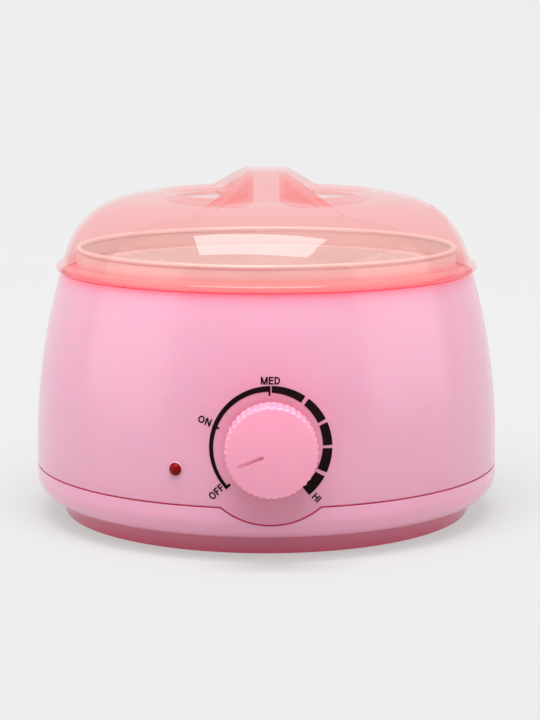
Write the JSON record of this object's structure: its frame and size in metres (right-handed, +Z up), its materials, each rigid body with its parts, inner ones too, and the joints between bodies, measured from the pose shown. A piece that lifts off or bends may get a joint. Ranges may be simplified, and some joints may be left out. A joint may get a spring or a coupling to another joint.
{
  "type": "wax warmer",
  "caption": "Round pink wax warmer with a lift-out metal pot in a heated well, a clear domed lid with a bow-tie grip, a front heat dial, an indicator lamp and a rear cord entry.",
  "frame": {"origin": "on the table, on the upright axis of the round body", "axes": "+Z up, the dial faces -Y, the cord entry faces +Y"},
  "size_m": [0.18, 0.1968, 0.1335],
  "materials": {
    "housing": "glossy pink moulding",
    "knob": "glossy pink moulding",
    "lid": "clear salmon moulding",
    "rubber": "matt",
    "pot": "satin",
    "well": "satin",
    "steel": "bright",
    "brass": "bright",
    "heater": "dull",
    "block": "matt",
    "black": "matt",
    "lens": "clear red",
    "neon": "clear",
    "lead_brown": "matt",
    "lead_white": "matt",
    "lead_blue": "matt"
  },
  "bodies": {
    "base": {"upper_housing": "housing", "base_pan": "housing", "foot_ring": "rubber", "base_screws": "steel", "heater_bowl": "well", "bowl_stud": "steel", "stud_nut": "steel", "heat_spacer": "block", "heater_band": "heater", "band_screw": "steel", "thermal_cutoff": "black", "cutoff_tabs": "brass", "thermostat_body": "block", "thermostat_tabs": "brass", "thermostat_bush": "brass", "dial_nut": "steel", "indicator_lens": "lens", "lamp_holder": "black", "neon_lamp": "neon", "cord_gland": "black", "gland_nut": "black", "terminal_block": "block", "terminal_screws": "brass", "mains_leads": "lead_brown", "heater_leads": "lead_white", "thermostat_leads": "lead_blue"},
    "knob": {"control_knob": "knob", "thermostat_shaft": "steel"},
    "pot": {"wax_pot": "pot"},
    "lid": {"lid": "lid"}
  },
  "joints": [
    {"name": "knob_turn", "type": "hinge", "parent": "base", "child": "knob", "pos_m": [0, -0.0972, 0.042], "axis": [0, 1, 0], "range_deg": [-21, 253]},
    {"name": "pot_lift", "type": "slide", "parent": "base", "child": "pot", "axis": [0, 0, 1], "range_m": [0, 0.075]},
    {"name": "lid_lift", "type": "slide", "parent": "pot", "child": "lid", "axis": [0, 0, 1], "range_m": [0, 0.06]}
  ]
}
